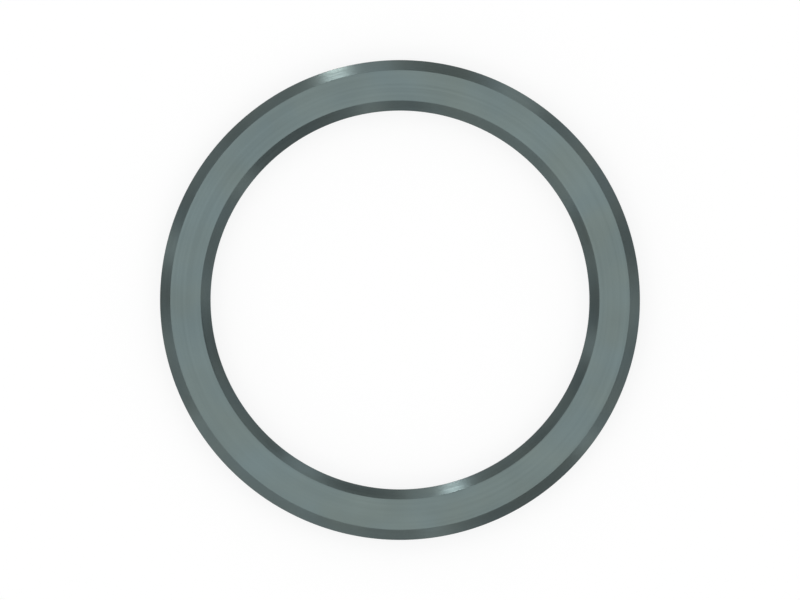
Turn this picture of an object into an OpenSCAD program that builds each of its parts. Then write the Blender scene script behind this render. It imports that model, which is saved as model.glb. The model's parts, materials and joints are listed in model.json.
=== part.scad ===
// Sealing washer for a drain plug or a banjo bolt, turned from the bar as one piece of metal.
// It is a flat ring with the same chamfers on both faces, so it goes on either way up.
// Lengths are in millimetres. The underside lies on z = 0, and +Z runs up the bore's axis.

/* [Thread] */
// Outside diameter of the screw thread that the washer seals
thread_d = 14; // [5:0.5:60]
// How much wider than the thread the bore is, measured on the diameter
thread_clearance = 0.2; // [0.1:0.05:1]

/* [Ring] */
// Width of the ring, from the wall of the bore to the rim
ring_w = 1.9; // [1.2:0.05:8]
// Thickness, from the underside to the top face
ring_t = 1.5; // [1:0.05:5]

/* [Edges] */
// Width across the face of the chamfer at each edge of the rim
rim_chamfer = 0.38; // [0.1:0.01:0.45]
// Width across the face of the chamfer at each edge of the bore
bore_chamfer = 0.38; // [0.1:0.01:0.45]
// Slope of all four chamfers, measured down from the face
chamfer_angle = 45; // [20:5:45]
// Radius that tumbling leaves where a chamfer meets a face or a wall
corner_r = 0.04; // [0.01:0.01:0.08]

/* [Hidden] */
$fn = 180;

bore_r = (thread_d + thread_clearance) / 2;
rim_r = bore_r + ring_w;
mid_z = ring_t / 2;
// Straight steps that draw the round at each corner of the section
corner_steps = 3;

// How far a chamfer of this width reaches down the wall beside it
function drop(width) = width * tan(chamfer_angle);

// The upper half of the ring's section, from the wall of the bore over the top face to the rim.
// Each point is [radius, height above the middle of the thickness].
upper_half = [
    [bore_r, mid_z - drop(bore_chamfer)],
    [bore_r + bore_chamfer, mid_z],
    [rim_r - rim_chamfer, mid_z],
    [rim_r, mid_z - drop(rim_chamfer)]
];

// The same four points below the middle, walked back from the rim to the bore
lower_half = [for (i = [len(upper_half) - 1 : -1 : 0]) [upper_half[i].x, -upper_half[i].y]];

function unit(v) = v / norm(v);

// The round of radius r that touches both sides of one corner. The outline is walked
// clockwise, so its points run clockwise too, from the side before to the side after.
function corner_round(before, corner, after, r) =
    let (
        back = unit(before - corner),
        ahead = unit(after - corner),
        half_corner = acos(back * ahead) / 2,
        half_turn = 90 - half_corner,
        centre = corner + unit(back + ahead) * r / sin(half_corner),
        outward = atan2(corner.y - centre.y, corner.x - centre.x)
    )
    [for (k = [0 : corner_steps])
        let (a = outward + half_turn * (1 - 2 * k / corner_steps))
        centre + r * [cos(a), sin(a)]];

// A closed outline with a round of radius r at each of its corners
function rounded(outline, r) =
    let (n = len(outline))
    [for (i = [0 : n - 1])
        each corner_round(outline[(i + n - 1) % n], outline[i], outline[(i + 1) % n], r)];

// One ring of metal: two flat sealing faces, a straight bore, a straight rim and four chamfers
module washer() {
    color("#738180")
        translate([0, 0, mid_z])
            rotate_extrude()
                polygon(rounded(concat(upper_half, lower_half), corner_r));
}

washer();
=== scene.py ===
import json
import math

import bmesh
import bpy
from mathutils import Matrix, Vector


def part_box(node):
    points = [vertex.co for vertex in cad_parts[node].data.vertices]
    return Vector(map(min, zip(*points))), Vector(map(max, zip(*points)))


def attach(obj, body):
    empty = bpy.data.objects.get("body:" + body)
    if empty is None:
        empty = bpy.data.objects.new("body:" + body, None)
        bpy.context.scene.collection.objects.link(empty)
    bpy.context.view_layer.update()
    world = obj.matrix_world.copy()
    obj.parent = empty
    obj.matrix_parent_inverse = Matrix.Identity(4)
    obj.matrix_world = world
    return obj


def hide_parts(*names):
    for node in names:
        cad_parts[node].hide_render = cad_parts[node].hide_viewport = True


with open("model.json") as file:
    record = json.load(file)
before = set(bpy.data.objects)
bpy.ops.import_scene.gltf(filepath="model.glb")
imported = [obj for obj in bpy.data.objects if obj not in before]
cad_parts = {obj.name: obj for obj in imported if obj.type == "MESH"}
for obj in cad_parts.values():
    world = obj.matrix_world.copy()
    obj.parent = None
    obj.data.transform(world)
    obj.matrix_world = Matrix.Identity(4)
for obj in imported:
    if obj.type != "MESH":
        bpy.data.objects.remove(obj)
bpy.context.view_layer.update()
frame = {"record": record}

# Ring: the whole washer, turned from steel bar as one piece and then zinc plated. Both faces are
# faced flat, bore and rim are straight, and each of the four edges has a 45 degree chamfer.
# Tumbling has rounded the corners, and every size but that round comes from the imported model.
mm = 0.001
chamfer_angle = math.radians(45)
corner_round = 0.04 * mm
corner_steps = 4
turn_steps = 360

low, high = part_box("washer")
bore = next(mount for mount in frame["record"]["mounts"] if mount["name"] == "bore")
bore_radius = bore["dims"]["r_mm"] * mm
bore_wall = bore["dims"]["length_mm"] * mm
rim_radius = max(high.x, high.y)
thickness = high.z - low.z
# The middle of the section, as a distance from the axis and a height
section_middle = Vector(((bore_radius + rim_radius) / 2, thickness / 2))
# How far a corner's round reaches along each of the two sides that meet there
round_reach = corner_round * math.tan(chamfer_angle / 2)
chamfer = (thickness - bore_wall) / 2 - round_reach

turned = bmesh.new()
section = [turned.verts.new((radius, 0, height)) for radius, height in (
    (bore_radius, chamfer),
    (bore_radius + chamfer, 0),
    (rim_radius - chamfer, 0),
    (rim_radius, chamfer),
    (rim_radius, thickness - chamfer),
    (rim_radius - chamfer, thickness),
    (bore_radius + chamfer, thickness),
    (bore_radius, thickness - chamfer),
)]
for start, end in zip(section, section[1:] + section[:1]):
    turned.edges.new((start, end))
bmesh.ops.spin(turned, geom=turned.verts[:] + turned.edges[:], cent=(0, 0, 0), axis=(0, 0, 1),
               angle=math.tau, steps=turn_steps, use_merge=True)
bmesh.ops.recalc_face_normals(turned, faces=turned.faces[:])
for face in turned.faces:
    face.smooth = True


def share_of_turn(start, near, point):
    """The turn from start to point as a share of a full one, on the same side of start as near."""
    return (start.angle_signed(near) % math.tau + near.angle_signed(point)) / math.tau


def in_section(point):
    """Where a point lies in the ring's section, from the section's middle."""
    return Vector((point.xy.length, point.z)) - section_middle


# The map of this name unrolls the skin flat, round the ring one way and round the section the
# other, so that the tools' rings run straight along it.
unrolled = turned.loops.layers.uv.new("OFBake")
ring_join = Vector((1, 0))
section_join = in_section(section[0].co)
for face in turned.faces:
    centre = face.calc_center_median()
    for loop in face.loops:
        corner = loop.vert.co
        loop[unrolled].uv = (
            share_of_turn(ring_join, centre.xy, corner.xy),
            share_of_turn(section_join, in_section(centre), in_section(corner)))
ring_mesh = bpy.data.meshes.new("washer_ring")
turned.to_mesh(ring_mesh)
turned.free()
ring = bpy.data.objects.new("washer_ring", ring_mesh)
bpy.context.scene.collection.objects.link(ring)
# Rounds the eight corners of the section. Hardened normals keep the faces, walls and chamfers
# between them reading as flat right up to the rounds.
tumbled = ring.modifiers.new("tumbled_corners", "BEVEL")
tumbled.limit_method = "ANGLE"
tumbled.angle_limit = chamfer_angle / 2
tumbled.width = round_reach
tumbled.segments = corner_steps
tumbled.harden_normals = True


def linear(colour):
    """The linear colour of an sRGB hex value such as "#738180"."""
    channels = [int(colour[i:i + 2], 16) / 255 for i in (1, 3, 5)]
    return (*[c / 12.92 if c <= 0.04045 else ((c + 0.055) / 1.055) ** 2.4 for c in channels], 1)


def new_finish(name):
    """A new material with nothing in its node tree."""
    finish = bpy.data.materials.new(name)
    finish.use_nodes = True
    finish.node_tree.nodes.clear()
    return finish


def add_node(tree, kind, inputs=None, **settings):
    """Adds a node. inputs gives its sockets' values, or the sockets to link to them."""
    node = tree.nodes.new(kind)
    for name, value in settings.items():
        setattr(node, name, value)
    for name, value in (inputs or {}).items():
        if isinstance(value, bpy.types.NodeSocket):
            tree.links.new(value, node.inputs[name])
        else:
            node.inputs[name].default_value = value
    return node


# The plating is zinc over the turned steel, sealed with a thin passivation film. It gives a satin
# blue-grey metal, darker than bare zinc. The film is uneven, here a little warmer and there a
# little darker, and the fine rings that the tools left on the steel still show through it.
film_cool = "#5e6b6c"
film_warm = "#606b69"
# The film gets lighter and darker by up to this share
film_shade = 0.045
cloud_size = 1.8 * mm
cloud_detail = 1.5
# The tools' true feed is near 0.05 mm. It is drawn a little coarser, so that it shows.
ring_spacing = 0.09 * mm
mark_length = 9.0 * mm
mark_depth = 0.0016 * mm
mark_detail = 1
# Noise keeps mostly between these two values
noise_low = 0.3
noise_high = 0.7
roughness_low = 0.28
roughness_high = 0.36
# How strongly the rings spread a highlight across them, from 0 to 1
spread = 0.87
quarter_turn = 0.25

plating = new_finish("zinc_plated_turned_steel")
tree = plating.node_tree
place = add_node(tree, "ShaderNodeTexCoord").outputs["Object"]
axes = add_node(tree, "ShaderNodeSeparateXYZ", {0: place}).outputs
level = add_node(tree, "ShaderNodeCombineXYZ", {"X": axes["X"], "Y": axes["Y"]}).outputs[0]
radius = add_node(tree, "ShaderNodeVectorMath", {0: level}, operation="LENGTH").outputs["Value"]
outward_way = add_node(tree, "ShaderNodeVectorMath", {0: level}, operation="NORMALIZE").outputs[0]
# How far a point lies across the section: outwards over the faces and chamfers and up or down
# the walls, so that the tools' rings run round all of them
outwards = add_node(tree, "ShaderNodeMath", {0: radius, 1: section_middle.x},
                    operation="SUBTRACT").outputs[0]
side = add_node(tree, "ShaderNodeMath", {0: outwards}, operation="SIGN").outputs[0]
upwards = add_node(tree, "ShaderNodeMath", {0: axes["Z"], 1: section_middle.y},
                   operation="SUBTRACT").outputs[0]
from_middle = add_node(tree, "ShaderNodeMath", {0: upwards}, operation="ABSOLUTE").outputs[0]
from_face = add_node(tree, "ShaderNodeMath", {0: section_middle.y, 1: from_middle},
                     operation="SUBTRACT").outputs[0]
across = add_node(tree, "ShaderNodeMath", {0: side, 1: from_face, 2: outwards},
                  operation="MULTIPLY_ADD").outputs[0]
rings = add_node(tree, "ShaderNodeMath", {0: across, 1: 1 / ring_spacing},
                 operation="MULTIPLY").outputs[0]
rings_up = add_node(tree, "ShaderNodeCombineXYZ", {"Z": rings}).outputs[0]
round_ring = add_node(tree, "ShaderNodeVectorMath",
                      {0: outward_way, "Scale": section_middle.x / mark_length},
                      operation="SCALE").outputs[0]
mark_place = add_node(tree, "ShaderNodeVectorMath", {0: round_ring, 1: rings_up},
                      operation="ADD").outputs[0]
marks = add_node(tree, "ShaderNodeTexNoise", {
    "Vector": mark_place, "Scale": 1, "Detail": mark_detail}).outputs["Fac"]
roughness = add_node(tree, "ShaderNodeMapRange", {
    "Value": marks, "From Min": noise_low, "From Max": noise_high,
    "To Min": roughness_low, "To Max": roughness_high}).outputs[0]
relief = add_node(tree, "ShaderNodeBump", {"Height": marks, "Distance": mark_depth}).outputs[0]
# The clouds shade the film. One channel of their colour, a pattern of its own, tints it.
clouds = add_node(tree, "ShaderNodeTexNoise", {
    "Vector": place, "Scale": 1 / cloud_size, "Detail": cloud_detail}).outputs
shade = add_node(tree, "ShaderNodeMapRange", {
    "Value": clouds["Fac"], "From Min": noise_low, "From Max": noise_high,
    "To Min": 1 - film_shade, "To Max": 1 + film_shade}).outputs[0]
channels = add_node(tree, "ShaderNodeSeparateColor", {0: clouds["Color"]}).outputs
warmth = add_node(tree, "ShaderNodeMapRange", {
    "Value": channels["Green"], "From Min": noise_low, "From Max": noise_high}).outputs[0]
# A Mix node of colours has its factor at 0, its colours at 6 and 7 and its result at 2
tint = add_node(tree, "ShaderNodeMix", {0: warmth, 6: linear(film_cool), 7: linear(film_warm)},
                data_type="RGBA").outputs[2]
film = add_node(tree, "ShaderNodeHueSaturation", {"Color": tint, "Value": shade}).outputs[0]
# Marks that run round the ring spread a highlight across them, a quarter turn from their own way
round_way = add_node(tree, "ShaderNodeVectorMath", {0: (0, 0, 1), 1: outward_way},
                     operation="CROSS_PRODUCT").outputs[0]
steel = add_node(tree, "ShaderNodeBsdfPrincipled", {
    "Base Color": film, "Metallic": 1, "Roughness": roughness, "Normal": relief,
    "Tangent": round_way, "Anisotropic": spread, "Anisotropic Rotation": quarter_turn})
add_node(tree, "ShaderNodeOutputMaterial", {"Surface": steel.outputs[0]})
ring_mesh.materials.append(plating)
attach(ring, "root")
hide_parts("washer")

# Floor and cards: the ring lies on a wide sheet of white card. Well away from it, out of sight, a
# low wall of grey card stands all round it, with strip lights and black cards in front. The ring's
# chamfers mirror them, and its faces mirror what is above.
plain_white = linear("#ffffff")
wall_grey = "#747474"
card_black = "#202020"
strip_radiance = 1.4
floor_half = 1.5
floor_own_white = 0.82
wall_radius = 0.45
wall_height = 0.14
wall_gap = 0.005
full_circle = 360
# How many degrees each straight step of a bent card spans
card_step = 3
# Each one's bearing from +X towards +Y and its width, both in degrees, and its height
strip_lights = ((38, 8, 0.015), (60, 12, 0.14), (96, 8, 0.14), (167, 7, 0.14), (192, 7, 0.035),
                (216, 15, 0.1), (234, 20, 0.055), (253, 18, 0.05), (279, 7, 0.11), (323, 7, 0.13),
                (333, 11, 0.015), (357, 9, 0.045))
black_cards = ((14, 13, 0.3), (50, 5, 0.3), (79, 13, 0.3), (135, 8, 0.3), (157, 10, 0.3),
               (178, 11, 0.3), (304, 29, 0.3))


def add_sight(tree):
    """Adds nodes that give 1 for rays of the camera, reflections and transmission, else 0."""
    ray = add_node(tree, "ShaderNodeLightPath").outputs
    mirrored = add_node(tree, "ShaderNodeMath", {0: ray["Is Camera Ray"], 1: ray["Is Glossy Ray"]},
                        operation="MAXIMUM").outputs[0]
    return add_node(tree, "ShaderNodeMath", {0: mirrored, 1: ray["Is Transmission Ray"]},
                    operation="MAXIMUM").outputs[0]


# Part of the card's white is its own, for the camera and for reflections, so that it stays white
# at a plain level of light. The rest is lit, so that the floor keeps the ring's soft shadow.
white_card = new_finish("white_card")
tree = white_card.node_tree
own_share = add_node(tree, "ShaderNodeMath", {0: add_sight(tree), 1: floor_own_white},
                     operation="MULTIPLY").outputs[0]
lit = add_node(tree, "ShaderNodeBsdfDiffuse", {"Color": plain_white}).outputs[0]
own = add_node(tree, "ShaderNodeEmission", {"Color": plain_white}).outputs[0]
card_look = add_node(tree, "ShaderNodeMixShader", {0: own_share, 1: lit, 2: own}).outputs[0]
add_node(tree, "ShaderNodeOutputMaterial", {"Surface": card_look})

strip_light = new_finish("strip_light")
tree = strip_light.node_tree
glow = add_node(tree, "ShaderNodeEmission", {
    "Color": plain_white, "Strength": strip_radiance}).outputs[0]
add_node(tree, "ShaderNodeOutputMaterial", {"Surface": glow})

matt_cards = {}
for tone, colour in (("grey", wall_grey), ("black", card_black)):
    matt_cards[tone] = new_finish(f"{tone}_card")
    tree = matt_cards[tone].node_tree
    matt = add_node(tree, "ShaderNodeBsdfDiffuse", {"Color": linear(colour)}).outputs[0]
    add_node(tree, "ShaderNodeOutputMaterial", {"Surface": matt})


def stage_piece(name, shape, material):
    """Makes a piece of the stage from a bmesh, which it frees."""
    mesh = bpy.data.meshes.new(name)
    shape.to_mesh(mesh)
    shape.free()
    mesh.materials.append(material)
    piece = bpy.data.objects.new(name, mesh)
    bpy.context.scene.collection.objects.link(piece)


def upright_card(radius, bearing, width, height):
    """An upright card on the floor, bent round the ring. Its bearing and width are in degrees."""
    shape = bmesh.new()
    start = math.radians(bearing - width / 2)
    foot = shape.verts.new((radius * math.cos(start), radius * math.sin(start), 0))
    bmesh.ops.spin(shape, geom=[foot], cent=(0, 0, 0), axis=(0, 0, 1), angle=math.radians(width),
                   steps=round(width / card_step), use_merge=width == full_circle)
    raised = bmesh.ops.extrude_edge_only(shape, edges=shape.edges[:])["geom"]
    bmesh.ops.translate(shape, vec=(0, 0, height),
                        verts=[part for part in raised if isinstance(part, bmesh.types.BMVert)])
    return shape


sheet = bmesh.new()
bmesh.ops.create_grid(sheet, x_segments=1, y_segments=1, size=floor_half)
stage_piece("floor", sheet, white_card)
low_wall = upright_card(wall_radius, 0, full_circle, wall_height)
stage_piece("grey_wall", low_wall, matt_cards["grey"])
for kind, cards, finish in (("strip_light", strip_lights, strip_light),
                            ("black_card", black_cards, matt_cards["black"])):
    for bearing, width, height in cards:
        card = upright_card(wall_radius - wall_gap, bearing, width, height)
        stage_piece(f"{kind}_{bearing}", card, finish)

# Light: white all round, a large softbox straight above that the faces reflect, and a small lamp
# low behind the ring that makes the two bright glints on its chamfers.
surround_light = 0.9
softbox_radiance = 0.68
glint_radiance = 68

world = bpy.data.worlds.new("white_surround")
bpy.context.scene.world = world
world.use_nodes = True
tree = world.node_tree
tree.nodes.clear()
# The surround is seen and mirrored as plain white, and it lights the floor a little less
soft = add_node(tree, "ShaderNodeBackground", {
    "Color": plain_white, "Strength": surround_light}).outputs[0]
seen = add_node(tree, "ShaderNodeBackground", {"Color": plain_white}).outputs[0]
surround = add_node(tree, "ShaderNodeMixShader", {0: add_sight(tree), 1: soft, 2: seen}).outputs[0]
add_node(tree, "ShaderNodeOutputWorld", {"Surface": surround})


def add_softbox(name, bearing, elevation, distance, width, height, radiance):
    """Adds a rectangular lamp that faces the ring. Angles are in degrees, bearing from +X to +Y."""
    lamp = bpy.data.lights.new(name, "AREA")
    lamp.shape = "RECTANGLE"
    lamp.size = width
    lamp.size_y = height
    # A flat lamp's power is pi times its radiance times its area
    lamp.energy = math.pi * radiance * width * height
    holder = bpy.data.objects.new(name, lamp)
    bpy.context.scene.collection.objects.link(holder)
    turn = math.radians(bearing)
    rise = math.radians(elevation)
    away = Vector((math.cos(rise) * math.cos(turn), math.cos(rise) * math.sin(turn), math.sin(rise)))
    holder.location = away * distance
    holder.rotation_euler = away.to_track_quat("Z", "Y").to_euler()


add_softbox("softbox_above", bearing=0, elevation=90, distance=0.25, width=0.3, height=0.3,
            radiance=softbox_radiance)
add_softbox("glint_lamp", bearing=105.7, elevation=2.5, distance=0.3, width=0.027, height=0.015,
            radiance=glint_radiance)

# Camera: straight above the ring and square to it. It has no perspective, and the ring takes up
# as much of its frame as it does of the photograph.
frame_width = 0.030
camera_height = 0.1
nearest_seen = 0.001
farthest_seen = 10

camera_data = bpy.data.cameras.new("camera")
camera_data.type = "ORTHO"
camera_data.ortho_scale = frame_width
camera_data.clip_start = nearest_seen
camera_data.clip_end = farthest_seen
camera = bpy.data.objects.new("camera", camera_data)
bpy.context.scene.collection.objects.link(camera)
camera.location = (0, 0, camera_height)
bpy.context.scene.camera = camera
bpy.context.scene.view_settings.view_transform = "Standard"
